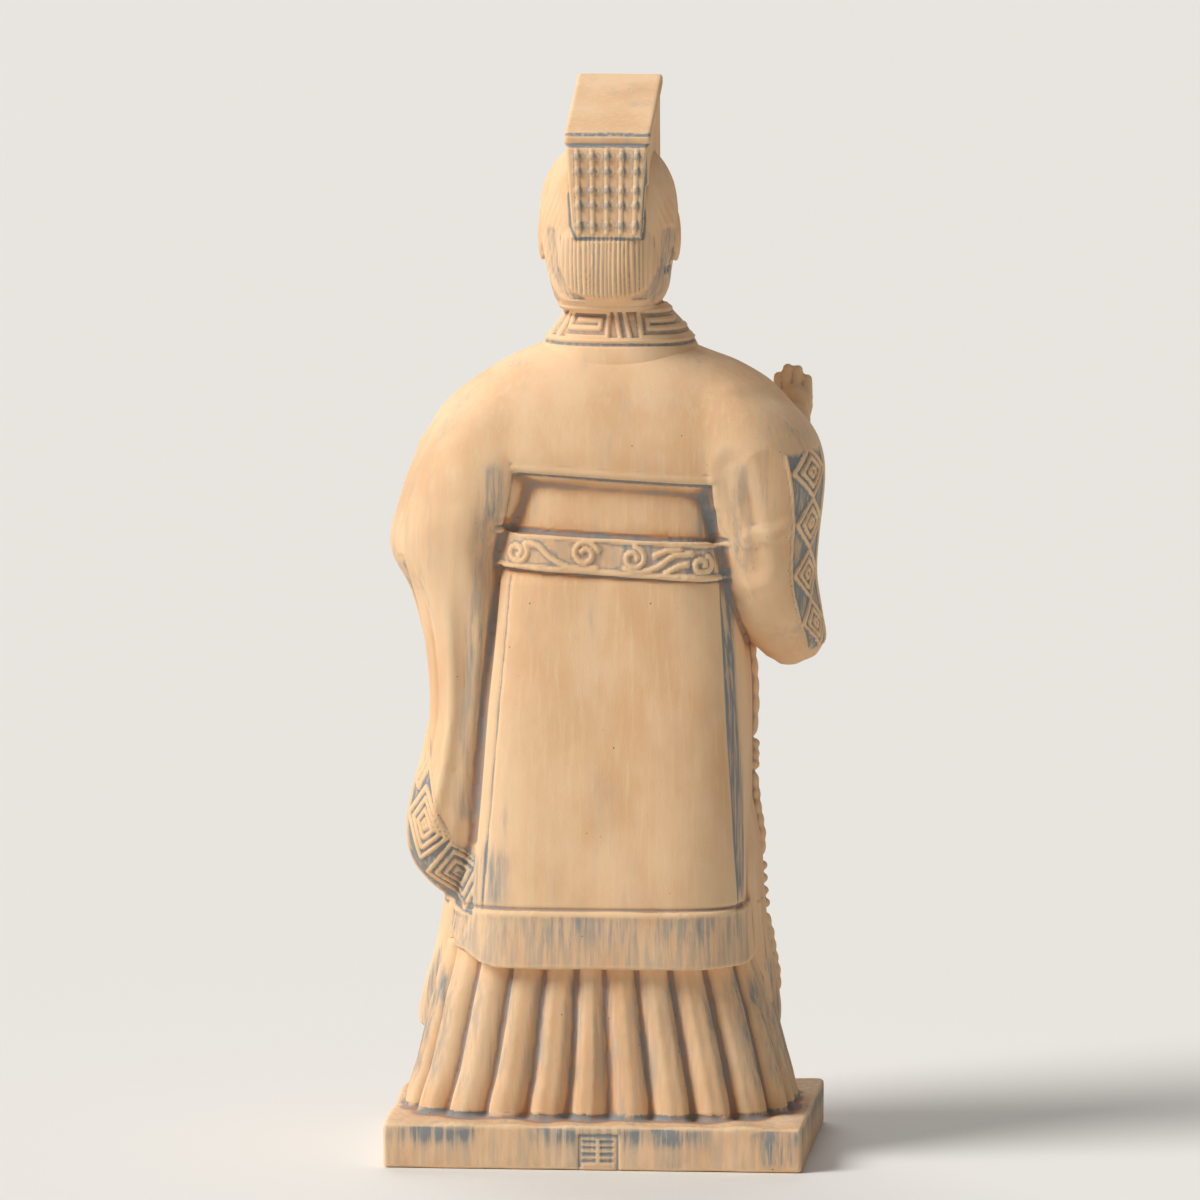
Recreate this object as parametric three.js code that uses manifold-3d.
// A fired clay statue of an emperor in a court robe and a flat-board crown, on a low base.
// Millimetres, +Z up. The figure faces -Y, its left hand is on the +X side,
// and the origin is the middle of the base's underside.
import * as THREE from 'three';
import { mergeVertices } from 'three/addons/utils/BufferGeometryUtils.js';
import Module from 'manifold-3d';

// ---- driving dimensions ----
const HEIGHT = 500;
const BASE_WIDTH = 194;
const BASE_DEPTH = 145;
const BASE_HEIGHT = 21;
const BASE_FLARE = 2;
const BASE_CORNER = 2.5;
const BASE_BEVEL = 1.6;
const PLEAT_COUNT = 26;
const PLEAT_DEPTH = 5.5;
const PLEAT_STEPS = 5;
const HEM_TOP = 118;
const HEM_BOTTOM = 92;
const BELT_BOTTOM = 273;
const BELT_TOP = 291;
const JACKET_EDGE = 318;
const COLLAR_BOTTOM = 374;
const COLLAR_TOP = 396;
const RELIEF = 1.4;
const STROKE_WIDTH = 2.4;
const SINK = 4;
const WELD = 0.03;
const BOARD_WIDTH = 40;
const BOARD_LENGTH = 76;
const BOARD_THICK = 6;
const BOARD_TILT = Math.atan2(24, 74);
const CROWN_X = -4.4;
const CURTAIN_BACK = 43;
const CURTAIN_TOP = 471;
const CURTAIN_BOTTOM = 428;
const CURTAIN_STRINGS = 5;
const CURTAIN_BEADS = 5;
const STRING_GAP = 6.9;
const HEAD_X = -2.3;
const SEAL_SIZE = 17;

// Each form is a stack of rings: height, right edge, left edge, front, back and squareness.
const SKIRT = [
  [16, -92, 94, -64, 60, 3.4],
  [24, -90, 92.5, -63, 59, 3.4],
  [42, -85.5, 87, -61, 57.5, 3.3],
  [66, -79, 81, -59, 55.5, 3.2],
  [100, -70, 73, -56, 52, 3.1],
];
const UNDER_ROBE = [
  [51, -77, 84, -62, 10, 2.8],
  [54, -80, 88, -64.5, 14, 2.8],
  [66, -80, 87, -65, 17, 2.8],
  [95, -75.5, 79, -64, 34, 2.8],
  [116, -73.2, 74.5, -63, 40, 2.8],
  [150, -70.5, 69, -59, 42, 2.8],
  [196, -61, 54, -46, 30, 2.8],
];
const COAT = [
  [HEM_BOTTOM, -69, 69, -61, 58, 4],
  [HEM_TOP, -68, 66.5, -59, 56.5, 4],
  [150, -68, 65, -57, 54.5, 4],
  [185, -68, 62, -55, 52.5, 3.9],
  [220, -67.8, 59.5, -53, 50.5, 3.8],
  [250, -64, 56, -51, 48, 3.8],
  [284, -60, 50, -48, 45.5, 3.8],
  [330, -60, 48, -47, 43, 3.6],
];
const JACKET = [
  [306, -60, 46, -46, 38, 3],
  [311, -72, 58, -50, 43, 2.9],
  [JACKET_EDGE, -90, 80, -51, 47, 2.8],
  [326, -98, 87, -51.5, 48, 2.7],
  [336, -96, 82, -50, 47, 2.6],
  [348, -88, 75, -46, 44, 2.5],
  [360, -77, 61, -40, 40, 2.4],
  [369, -62, 47, -33, 34.5, 2.3],
  [376, -43, 31, -27, 28, 2.2],
  [381, -30, 18, -20, 21, 2.1],
];
const LEFT_SLEEVE = [
  [112, 58, 66, -38, 2, 2.1],
  [116, 53, 74, -50, 11, 2.2],
  [125, 50, 83.3, -58, 25, 2.3],
  [136, 48, 90, -62, 38, 2.4],
  [150, 47, 92, -63, 46, 2.4],
  [168, 46, 89.5, -62, 46, 2.4],
  [188, 46, 84, -61, 44.5, 2.4],
  [210, 45, 81, -60, 43.5, 2.4],
  [242, 41, 84.2, -58, 43.5, 2.5],
  [263, 38, 90, -56, 45, 2.5],
  [283, 35, 100.3, -54, 46, 2.4],
  [303, 33, 95.5, -48, 46.5, 2.5],
  [322, 31, 88.5, -44, 45, 2.5],
  [345, 28, 76, -40, 40, 2.4],
  [356, 24, 60, -32, 34, 2.3],
];
const RIGHT_SLEEVE = [
  [226, -90, -80, -28, -8, 2.1],
  [230, -98, -74, -38, 2, 2.2],
  [238, -102, -66, -46, 14, 2.3],
  [250, -100.5, -58, -54, 27, 2.5],
  [268, -98, -50, -58, 37, 2.6],
  [290, -99.5, -46, -58, 42, 2.6],
  [308, -101.5, -44, -56, 44.5, 2.6],
  [322, -102, -43, -52, 45, 2.5],
  [336, -98, -44, -46, 43, 2.4],
  [348, -88, -42, -40, 40, 2.4],
  [360, -72, -38, -32, 34, 2.3],
];
const COLLAR = [
  [366, -46, 32, -37, 34, 2.3],
  [COLLAR_BOTTOM, -44, 30, -35, 33, 2.3],
  [385, -38, 22.5, -29, 28.5, 2.2],
  [394, -30.5, 16.5, -25, 25.5, 2.1],
  [COLLAR_TOP, -28, 14, -23, 24, 2.1],
];
const HEAD = [
  [386, -20, 14, -16, 18, 2.1],
  [397, -27, 21.5, -24, 33, 2.2],
  [403, -30, 24.5, -31, 37, 2.3],
  [414, -31.5, 27, -35, 39.5, 2.3],
  [426, -33.6, 29, -36, 40.5, 2.3],
  [440, -34, 29.5, -36, 40, 2.3],
  [452, -32, 27.5, -34, 37, 2.3],
  [462, -26.5, 22, -30, 32, 2.3],
  [472, -16, 11, -20, 22, 2.2],
];
const HAIR = [
  [399, -19, 10, 10, 35.5, 2.6],
  [402, -24, 15, 6, 41, 2.6],
  [414, -27, 20, 0, 43.5, 2.6],
  [428, -26, 20, 0, 43, 2.6],
  [440, -22, 16, 0, 40, 2.6],
];
const BEARD = [
  [352, -10, 1, -50, -40, 2.1],
  [360, -15, 6, -53, -32, 2.2],
  [376, -19, 11, -51, -20, 2.3],
  [392, -21, 14, -43, -10, 2.3],
  [403, -20, 14, -38, -6, 2.3],
];

// ---- helpers ----
const wasm = await Module();
wasm.setup();

function faceOut(geometry) {
  // a surface map that mirrors turns the faces inwards, so they are turned back
  const p = geometry.attributes.position;
  const index = geometry.index.array;
  const corners = [new THREE.Vector3(), new THREE.Vector3(), new THREE.Vector3()];
  let volume = 0;
  for (let i = 0; i < index.length; i += 3) {
    corners.forEach((corner, k) => corner.fromBufferAttribute(p, index[i + k]));
    volume += corners[0].dot(corners[1].clone().cross(corners[2]));
  }
  if (volume > 0) return;
  for (let i = 0; i < index.length; i += 3) [index[i], index[i + 1]] = [index[i + 1], index[i]];
}

function solid(geometry) {
  const plain = geometry.index ? geometry.clone() : geometry;
  plain.deleteAttribute('normal');
  plain.deleteAttribute('uv');
  const merged = mergeVertices(plain, 1e-4);
  faceOut(merged);
  const mesh = new wasm.Mesh({
    numProp: 3,
    vertProperties: new Float32Array(merged.attributes.position.array),
    triVerts: new Uint32Array(merged.index.array),
    tolerance: WELD,
  });
  return new wasm.Manifold(mesh);
}

function geometryOf(manifold) {
  const mesh = manifold.getMesh();
  const geometry = new THREE.BufferGeometry();
  geometry.setAttribute('position', new THREE.BufferAttribute(mesh.vertProperties, 3));
  geometry.setIndex(new THREE.BufferAttribute(mesh.triVerts, 1));
  return geometry;
}

function between(a, b, c, d, t) {
  // Catmull-Rom between b and c
  const slopeIn = (c - a) / 2;
  const slopeOut = (d - b) / 2;
  const t2 = t * t;
  const t3 = t2 * t;
  return (2 * t3 - 3 * t2 + 1) * b + (t3 - 2 * t2 + t) * slopeIn
    + (3 * t2 - 2 * t3) * c + (t3 - t2) * slopeOut;
}

function ringAt(rings, place) {
  // place runs from 0 at the first ring to the count of rings less one
  const last = rings.length - 1;
  const lower = Math.min(Math.floor(place), last - 1);
  const t = place - lower;
  const at = (i) => rings[Math.max(0, Math.min(last, i))];
  const [z0, z1] = [rings[lower][0], rings[lower + 1][0]];
  const ring = [z0 + (z1 - z0) * t];
  for (let k = 1; k <= 5; k++) {
    ring.push(between(at(lower - 1)[k], at(lower)[k], at(lower + 1)[k], at(lower + 2)[k], t));
  }
  return ring;
}

function ringAtHeight(rings, z) {
  let lower = 0;
  while (lower < rings.length - 2 && z > rings[lower + 1][0]) lower++;
  const t = (z - rings[lower][0]) / (rings[lower + 1][0] - rings[lower][0]);
  return ringAt(rings, lower + Math.max(0, Math.min(1, t)));
}

function onRing(ring, angle, out = 0) {
  const [z, right, left, front, back, square] = ring;
  const bulge = (v) => Math.sign(v) * Math.abs(v) ** (2 / square);
  const halfX = (left - right) / 2 + out;
  const halfY = (back - front) / 2 + out;
  const x = (left + right) / 2 + halfX * bulge(Math.cos(angle));
  const y = (back + front) / 2 + halfY * bulge(Math.sin(angle));
  return new THREE.Vector3(x, y, z);
}

function onBack(rings, x, z, out = 0) {
  // the point of a form's back at x and z, moved out from it
  const ring = ringAtHeight(rings, z);
  const across = (x - (ring[1] + ring[2]) / 2) / ((ring[2] - ring[1]) / 2);
  const angle = Math.acos(Math.sign(across) * Math.min(1, Math.abs(across)) ** (ring[5] / 2));
  return onRing(ring, angle, out);
}

function onFront(rings, x, z, out = 0) {
  const ring = ringAtHeight(rings, z);
  const across = (x - (ring[1] + ring[2]) / 2) / ((ring[2] - ring[1]) / 2);
  const angle = -Math.acos(Math.sign(across) * Math.min(1, Math.abs(across)) ** (ring[5] / 2));
  return onRing(ring, angle, out);
}

function form(rings, sides, rowsPerRing, outAt = () => 0, out = 0) {
  const rows = (rings.length - 1) * rowsPerRing;
  const geometry = new THREE.CylinderGeometry(1, 1, 1, sides, rows, false);
  const p = geometry.attributes.position;
  for (let i = 0; i < p.count; i++) {
    const radius = Math.hypot(p.getX(i), p.getZ(i));
    const ring = ringAt(rings, (p.getY(i) + 0.5) * (rings.length - 1));
    const angle = Math.atan2(-p.getZ(i), p.getX(i));
    const spot = onRing(ring, angle, out + outAt(angle, ring));
    const middle = new THREE.Vector3((ring[1] + ring[2]) / 2, (ring[3] + ring[4]) / 2, ring[0]);
    middle.lerp(spot, Math.min(1, radius));
    p.setXYZ(i, middle.x, middle.y, middle.z);
  }
  return solid(geometry);
}

function sideLine(points, shift) {
  // the line that runs beside a path of points, with mitred corners
  return points.map((point, i) => {
    const here = new THREE.Vector2(...point);
    const before = new THREE.Vector2(...points[Math.max(0, i - 1)]);
    const after = new THREE.Vector2(...points[Math.min(points.length - 1, i + 1)]);
    const into = (i > 0 ? here.clone().sub(before) : after.clone().sub(here)).normalize();
    const away = (i + 1 < points.length ? after.sub(here) : into.clone()).normalize();
    const across = new THREE.Vector2(-into.y - away.y, into.x + away.x);
    const length = shift / Math.max(0.4, across.lengthSq() / (2 * across.length()));
    return here.add(across.setLength(Math.abs(length)).multiplyScalar(Math.sign(shift)));
  });
}

function stroke(points, width, rise, place, steps = 1) {
  // a raised line through flat points [u, v], laid on a surface by place(u, v, out)
  const path = [points[0]];
  for (let i = 1; i < points.length; i++) {
    for (let k = 1; k <= steps; k++) {
      path.push([0, 1].map((axis) => THREE.MathUtils.lerp(points[i - 1][axis], points[i][axis], k / steps)));
    }
  }
  const outline = [...sideLine(path, width / 2), ...sideLine(path, -width / 2).reverse()];
  const ribbon = new THREE.ExtrudeGeometry(new THREE.Shape(outline), {
    depth: rise + SINK,
    bevelEnabled: false,
  });
  const p = ribbon.attributes.position;
  for (let k = 0; k < p.count; k++) {
    const spot = place(p.getX(k), p.getY(k), p.getZ(k) - SINK);
    p.setXYZ(k, spot.x, spot.y, spot.z);
  }
  return [solid(ribbon)];
}

function squareSpiral(u, v, width, height, turns, gap, handed = 1) {
  // a key-pattern spiral, drawn from its outer corner inwards
  const points = [];
  for (let turn = 0; turn < turns; turn++) {
    const w = width / 2 - turn * gap;
    const h = height / 2 - turn * gap;
    points.push([u - handed * (turn ? w + gap : w), v - h]);
    points.push([u + handed * w, v - h]);
    points.push([u + handed * w, v + h]);
    points.push([u - handed * w, v + h]);
  }
  return points;
}

function turnPoints(points, u, v, angle) {
  const middle = new THREE.Vector2(u, v);
  return points.map(([a, b]) => new THREE.Vector2(a, b).rotateAround(middle, angle).toArray());
}

function curl(u, v, radius, start, sweep, steps) {
  // a scroll that winds in to a third of its radius
  const points = [];
  for (let i = 0; i <= steps; i++) {
    const t = i / steps;
    const angle = start + sweep * t;
    const r = radius * (1 - 0.65 * t);
    points.push([u + r * Math.cos(angle), v + r * Math.sin(angle)]);
  }
  return points;
}

function pebble(x, y, z, rx, ry, rz, sides = 10, rows = 6) {
  const geometry = new THREE.SphereGeometry(1, sides, rows);
  geometry.scale(rx, rz, ry);
  geometry.rotateX(Math.PI / 2);
  geometry.translate(x, y, z);
  return solid(geometry);
}

function limb(start, end, startRadius, endRadius, sides = 6) {
  // a round bar between two points, with rounded ends
  const a = new THREE.Vector3(...start);
  const b = new THREE.Vector3(...end);
  const length = a.distanceTo(b);
  const profile = [
    new THREE.Vector2(0, -startRadius * 0.8),
    new THREE.Vector2(startRadius, 0),
    new THREE.Vector2(endRadius, length),
    new THREE.Vector2(0, length + endRadius * 0.8),
  ];
  const geometry = new THREE.LatheGeometry(profile, sides);
  const turn = new THREE.Quaternion();
  turn.setFromUnitVectors(new THREE.Vector3(0, 1, 0), b.clone().sub(a).normalize());
  geometry.applyQuaternion(turn);
  geometry.translate(a.x, a.y, a.z);
  return solid(geometry);
}

function slab(outline, thick, bevel = 0) {
  const shape = new THREE.Shape(outline.map(([u, v]) => new THREE.Vector2(u, v)));
  const geometry = new THREE.ExtrudeGeometry(shape, {
    depth: thick - 2 * bevel,
    bevelEnabled: bevel > 0,
    bevelThickness: bevel,
    bevelSize: bevel,
    bevelOffset: -bevel,
    bevelSegments: 1,
  });
  geometry.translate(0, 0, bevel);
  return geometry;
}

function clippedRectangle(width, depth, corner, flare = 0) {
  // flare is how much further each front corner stands out than a back one
  const x = width / 2;
  const y = depth / 2;
  const front = x + flare;
  return [
    [-front + corner, -y], [front - corner, -y], [front, -y + corner], [x, y - corner],
    [x - corner, y], [-x + corner, y], [-x, y - corner], [-front, -y + corner],
  ];
}

// ---- base ----
function makeBase() {
  const outline = clippedRectangle(BASE_WIDTH, BASE_DEPTH, BASE_CORNER, BASE_FLARE);
  const plate = slab(outline, BASE_HEIGHT, BASE_BEVEL);
  const seal = new THREE.BoxGeometry(SEAL_SIZE, 2, SEAL_SIZE);
  seal.translate(-3, BASE_DEPTH / 2 + 0.3, BASE_HEIGHT / 2 - 1.5);
  return [solid(plate).subtract(solid(seal))];
}

// ---- pleated skirt ----
function evenTurn(ring, count) {
  // angles that share a ring's outline into equal lengths, starting on the figure's left
  const samples = 720;
  const lengths = [0];
  let last = onRing(ring, 0);
  for (let i = 1; i <= samples; i++) {
    const next = onRing(ring, (i / samples) * 2 * Math.PI);
    lengths.push(lengths[i - 1] + next.distanceTo(last));
    last = next;
  }
  const share = lengths[samples] / count;
  return (angle) => {
    const turn = ((angle / (2 * Math.PI)) % 1 + 1) % 1;
    return lengths[Math.round(turn * samples)] / share;
  };
}

function pleatRise(place) {
  // a broad round fold, then a narrow hollow
  const t = ((place % 1) + 1) % 1;
  return t < 0.68 ? Math.sin((t / 0.68) * Math.PI) ** 0.6 : -0.12 * Math.sin(((t - 0.68) / 0.32) * Math.PI);
}

function makeSkirt() {
  const sides = PLEAT_COUNT * PLEAT_STEPS;
  const geometry = new THREE.CylinderGeometry(1, 1, 1, sides, SKIRT.length - 1, false);
  const foot = SKIRT[1];
  const places = evenTurn(foot, PLEAT_COUNT);
  const angles = [];
  for (let i = 0, fine = 0; i <= sides; i++) {
    while (fine < 719 && places((fine / 720) * 2 * Math.PI) < i / PLEAT_STEPS) fine++;
    angles.push(i === sides ? 2 * Math.PI : (fine / 720) * 2 * Math.PI);
  }
  const p = geometry.attributes.position;
  for (let i = 0; i < p.count; i++) {
    const radius = Math.hypot(p.getX(i), p.getZ(i));
    const ring = ringAt(SKIRT, (p.getY(i) + 0.5) * (SKIRT.length - 1));
    const turn = (Math.atan2(-p.getZ(i), p.getX(i)) / (2 * Math.PI) + 1) % 1;
    const step = Math.round(turn * sides) % sides;
    const shallow = THREE.MathUtils.lerp(1, 0.7, (ring[0] - SKIRT[0][0]) / (HEM_BOTTOM - SKIRT[0][0]));
    const rise = (pleatRise(step / PLEAT_STEPS) - 1) * PLEAT_DEPTH * shallow;
    const spot = onRing(ring, angles[step], rise);
    const middle = new THREE.Vector3((ring[1] + ring[2]) / 2, (ring[3] + ring[4]) / 2, ring[0]);
    middle.lerp(spot, Math.min(1, radius));
    p.setXYZ(i, middle.x, middle.y, middle.z);
  }
  return [solid(geometry)];
}

// ---- robe, coat, hem and belt ----
function makeRobe() {
  const pieces = [form(UNDER_ROBE, 20, 1), form(COAT, 26, 1)];
  const hem = COAT.slice(0, 2).map((ring) => [...ring]);
  hem.push([HEM_TOP + 1.5, ...COAT[1].slice(1)]);
  const hemOut = (angle, ring) => (ring[0] > HEM_TOP + 1 ? -1 : 2);
  pieces.push(form(hem, 26, 1, hemOut));
  const edge = (side) => {
    const points = [[side * 46 - 6.5, BELT_BOTTOM - 1], [side * 59 - 4, HEM_TOP + 2]];
    return stroke(points, STROKE_WIDTH, 0.9, (u, v, out) => onBack(COAT, u, v, out), 4);
  };
  pieces.push(...edge(-1), ...edge(1));
  return pieces;
}

function makeBelt() {
  const at = (z) => ringAtHeight(COAT, z);
  const band = [at(BELT_BOTTOM - 1), at(BELT_BOTTOM), at(BELT_TOP), at(BELT_TOP + 1)];
  const outAt = (angle, ring) => (ring[0] < BELT_BOTTOM || ring[0] > BELT_TOP ? 0.6 : 2.2);
  const rings = band.map((ring) => [...ring]);
  const pieces = [form(rings, 26, 1, outAt)];
  const middle = (BELT_TOP + BELT_BOTTOM) / 2;
  const place = (u, v, out) => onBack(COAT, u, v, out + 2);
  const scrolls = [
    [38, 4.6, 0.3 * Math.PI, 1.7 * Math.PI],
    [6, 5.6, 1.5 * Math.PI, -1.8 * Math.PI],
    [-16, 5.2, 1.2 * Math.PI, -1.7 * Math.PI],
    [-46, 4.4, 0.9 * Math.PI, 1.7 * Math.PI],
  ];
  for (const [u, radius, start, sweep] of scrolls) {
    pieces.push(...stroke(curl(u, middle, radius, start, sweep, 6), 1.6, 1, place));
  }
  const tails = [
    [[34, middle + 3], [24, middle - 5], [8, middle - 6]],
    [[-19, middle - 5], [-27, middle - 4], [-42, middle + 5]],
  ];
  for (const tail of tails) pieces.push(...stroke(tail, 1.6, 1, place));
  return pieces;
}

// ---- jacket, sleeves and cuffs ----
function makeJacket() {
  return [form(JACKET, 24, 1), form(LEFT_SLEEVE, 16, 1), form(RIGHT_SLEEVE, 16, 1)];
}

function makeLeftCuff() {
  const place = (u, v, out) => onBack(LEFT_SLEEVE, u, v, out);
  const upper = turnPoints(squareSpiral(79, 150, 13, 24, 2, 4.6, -1), 79, 150, 0.12);
  const lower = turnPoints(squareSpiral(66, 130, 17, 15, 2, 4.6, 1), 66, 130, -0.75);
  const edge = [[78, 196], [77, 178], [73, 160], [66, 147], [56, 140]];
  return [...stroke(upper, 1.9, 1.2, place), ...stroke(lower, 1.9, 1.2, place),
    ...stroke(edge, 1.9, 1.2, place)];
}

function makeRightCuff() {
  const place = (u, v, out) => {
    const ring = ringAtHeight(RIGHT_SLEEVE, v);
    return onRing(ring, Math.PI - u / 40, out);
  };
  const pieces = [];
  for (let i = 0; i < 3; i++) {
    const points = squareSpiral(2, 254 + i * 30, 24, 18, 2, 4.6, i % 2 ? 1 : -1).slice(0, 7);
    pieces.push(...stroke(points, 1.9, 1.1, place));
  }
  pieces.push(...stroke([[21, 242], [21, 325]], 1.9, 1.2, place, 4));
  return pieces;
}

// ---- collar ----
function makeCollar() {
  const pieces = [form(COLLAR, 18, 1)];
  const place = (u, v, out) => onBack(COLLAR, u * (1 - (v - COLLAR_BOTTOM) * 0.012) - 5.5, v, out);
  const rise = (COLLAR_TOP + COLLAR_BOTTOM) / 2 + 2;
  for (const side of [-1, 1]) {
    const spiral = squareSpiral(side * 17.5, rise, 19, 13, 2, 4.3, -side);
    pieces.push(...stroke(spiral, 2, RELIEF, place));
    pieces.push(...stroke([[side * 2.4 - 1.4, rise - 7], [side * 2.4 + 1.6, rise + 7]], 2, RELIEF, place));
  }
  const front = (u, v, out) => onFront(JACKET, u, v, out);
  pieces.push(...stroke([[-30, 370], [-4, 334], [8, JACKET_EDGE]], 9, 2.4, front, 2));
  pieces.push(...stroke([[18, 370], [-4, 336], [-14, JACKET_EDGE]], 9, 1.8, front, 2));
  return pieces;
}

// ---- head, face and crown ----
function makeHead() {
  const pieces = [form(HEAD, 18, 1), form(HAIR, 10, 1), form(BEARD, 9, 1)];
  for (const side of [-1, 1]) {
    pieces.push(pebble(HEAD_X + side * 31, 1, 427, 2, 6, 12, 6, 6));
    pieces.push(pebble(HEAD_X + side * 11, -34.5, 434, 5.5, 2.6, 2.6, 6, 4));
    pieces.push(limb([HEAD_X + side * 4, -36.4, 440], [HEAD_X + side * 19, -32.5, 440], 1.6, 1.1, 5));
    pieces.push(pebble(HEAD_X + side * 15, -29, 420, 9, 6, 8, 6, 4));
    pieces.push(limb([HEAD_X + side * 2, -34.6, 413.5], [HEAD_X + side * 12, -30.6, 409], 1.8, 1.2, 5));
  }
  pieces.push(limb([HEAD_X, -35, 440], [HEAD_X, -39.2, 421], 2.4, 3.2));
  pieces.push(pebble(HEAD_X, -36, 419.5, 5.4, 3, 2.6, 6, 4));
  pieces.push(pebble(HEAD_X, -34, 407.5, 6.5, 4, 2.4, 6, 4));
  return pieces;
}

function makeCrown() {
  const corner = 5;
  const board = slab(clippedRectangle(BOARD_WIDTH, BOARD_LENGTH, corner), BOARD_THICK, 1);
  board.rotateX(-BOARD_TILT);
  board.computeBoundingBox();
  const lift = HEIGHT - board.boundingBox.max.z;
  board.translate(CROWN_X, 1.5, lift);
  const side = [[-36, 452], [40, 452], [40, 470.5], [-36, 494]];
  const block = slab(side, BOARD_WIDTH - 3);
  block.rotateX(Math.PI / 2);
  block.rotateZ(Math.PI / 2);
  block.translate(CROWN_X - (BOARD_WIDTH - 3) / 2, 0, 0);
  const pieces = [solid(board), solid(block)];
  const curtain = (top, bottom, y, thick) => {
    const outline = [[-16, bottom], [16.5, bottom], [18.6, bottom + 7], [18.6, top], [-18.6, top],
      [-18.6, bottom + 4]];
    const geometry = slab(outline, thick);
    geometry.rotateX(Math.PI / 2);
    geometry.translate(CROWN_X, y, 0);
    return solid(geometry);
  };
  pieces.push(curtain(CURTAIN_TOP, CURTAIN_BOTTOM, CURTAIN_BACK, 12));
  pieces.push(curtain(CURTAIN_TOP + 20, 452, -31, 8));
  const beadAt = (x, y, z) => {
    const bead = new THREE.OctahedronGeometry(1.7);
    bead.translate(x, y, z);
    return solid(bead);
  };
  const drop = (CURTAIN_TOP - CURTAIN_BOTTOM - 10) / (CURTAIN_BEADS - 1);
  for (let i = 0; i < CURTAIN_STRINGS; i++) {
    const x = CROWN_X - (i - (CURTAIN_STRINGS - 1) / 2) * STRING_GAP;
    for (let k = 0; k < CURTAIN_BEADS; k++) pieces.push(beadAt(x, CURTAIN_BACK, CURTAIN_TOP - 5 - k * drop));
  }
  return pieces;
}

// ---- hands ----
function makeRightHand() {
  // raised in front of the shoulder, palm to the front, fingers up
  const pieces = [limb([-84, -34, 318], [-85, -45, 340], 10, 8)];
  pieces.push(pebble(-85.5, -47, 344, 8.6, 5.6, 10, 8, 6));
  const fingers = [[-77.5, 359.5, 2.2], [-82, 363.5, 2.4], [-86.8, 363, 2.5], [-91.2, 358.5, 2.6]];
  for (const [x, tip, radius] of fingers) {
    pieces.push(limb([x, -47, 347], [x, -50, tip - radius], radius + 0.3, radius));
  }
  pieces.push(limb([-78, -50, 342], [-75, -55, 351], 2.8, 2.3));
  return pieces;
}

function makeLeftHand() {
  // laid on the belt at the front
  const pieces = [limb([62, -46, 272], [30, -57, 277], 12, 8.5)];
  pieces.push(pebble(20, -57, 278, 11, 6.5, 9, 8, 6));
  for (let i = 0; i < 4; i++) {
    const z = 284 - i * 4.7;
    pieces.push(limb([17, -60, z], [5 + i, -55, z - 1], 2.7, 2.4));
  }
  pieces.push(limb([20, -60, 285], [11, -61, 290], 2.8, 2.4));
  return pieces;
}

// ---- front apron and side pendants ----
function makeApron() {
  const place = (u, v, out) => {
    const [coat, robe] = [onFront(COAT, u, v, out), onFront(UNDER_ROBE, u, v, out)];
    return coat.y < robe.y ? coat : robe;
  };
  const pieces = stroke([[-2, 268], [-2, 70]], 40, 3, place, 5);
  pieces.push(...stroke([[-2, 80], [-2, 64]], 43, 4.5, place, 1));
  for (const side of [-1, 1]) {
    const hang = (v, out) => {
      const ring = ringAtHeight(v > 112 ? COAT : UNDER_ROBE, v);
      return onRing(ring, side < 0 ? 1.16 * Math.PI : -0.16 * Math.PI, out);
    };
    const string = (u, v, out) => hang(v, out).add(new THREE.Vector3(u * 0.3, -u, 0));
    const cord = [[0, 258], [0, 174]];
    pieces.push(...stroke(cord, 2.4, 1.5, string, 3));
    pieces.push(...stroke([[0, 171], [0, 134]], 13, 2.4, string, 2));
    pieces.push(...stroke([[0, 132], [0, 98]], 2.4, 1.5, string, 3));
    pieces.push(...stroke([[0, 92], [0, 68]], 9, 2.2, string, 2));
    for (const z of [127, 113, 101, 220]) {
      const spot = hang(z, 1);
      pieces.push(pebble(spot.x, spot.y, spot.z, 3, 3, 2.6, 5, 3));
    }
  }
  return pieces;
}

// ---- the statue, one piece of clay ----
const parts = [
  ...makeBase(), ...makeSkirt(), ...makeRobe(), ...makeBelt(), ...makeJacket(),
  ...makeLeftCuff(), ...makeRightCuff(), ...makeCollar(), ...makeHead(), ...makeCrown(),
  ...makeRightHand(), ...makeLeftHand(), ...makeApron(),
];
const statue = parts.reduce((whole, piece) => whole.add(piece));
const slip = new THREE.MeshStandardMaterial({ color: 0xe3bc8c, roughness: 0.95, metalness: 0 });
const mesh = new THREE.Mesh(geometryOf(statue), slip);
mesh.name = 'robed_emperor_statue';
const group = new THREE.Group();
group.add(mesh);

export default group;
